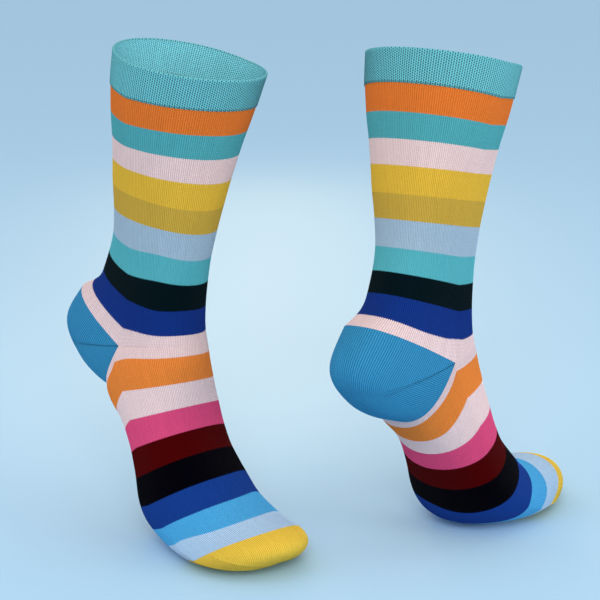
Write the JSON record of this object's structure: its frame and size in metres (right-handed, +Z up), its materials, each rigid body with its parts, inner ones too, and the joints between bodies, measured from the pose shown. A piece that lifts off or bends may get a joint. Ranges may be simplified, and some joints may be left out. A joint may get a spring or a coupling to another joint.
{
  "type": "pair of socks",
  "caption": "Pair of striped crew socks with doubled cuffs and turned heels and toes, filled out and standing on tiptoe, open at the cuff.",
  "frame": {"origin": "centre of the right sock's cuff opening", "axes": "+Z up, +X level from the right sock to the left one, +Y level towards the left toes and the right heel"},
  "size_m": [0.3368, 0.1859, 0.3175],
  "materials": {
    "welt_knit": "doubled, fine mesh knit",
    "leg_knit": "fine matte jersey knit in stripes",
    "heel_knit": "fine matte reinforced knit",
    "foot_knit": "fine matte jersey knit in stripes",
    "toe_knit": "fine matte reinforced knit"
  },
  "bodies": {
    "root": {"right_cuff": "welt_knit", "right_leg": "leg_knit", "right_heel": "heel_knit", "right_foot": "foot_knit", "right_toe": "toe_knit", "left_cuff": "welt_knit", "left_leg": "leg_knit", "left_heel": "heel_knit", "left_foot": "foot_knit", "left_toe": "toe_knit"}
  },
  "joints": []
}
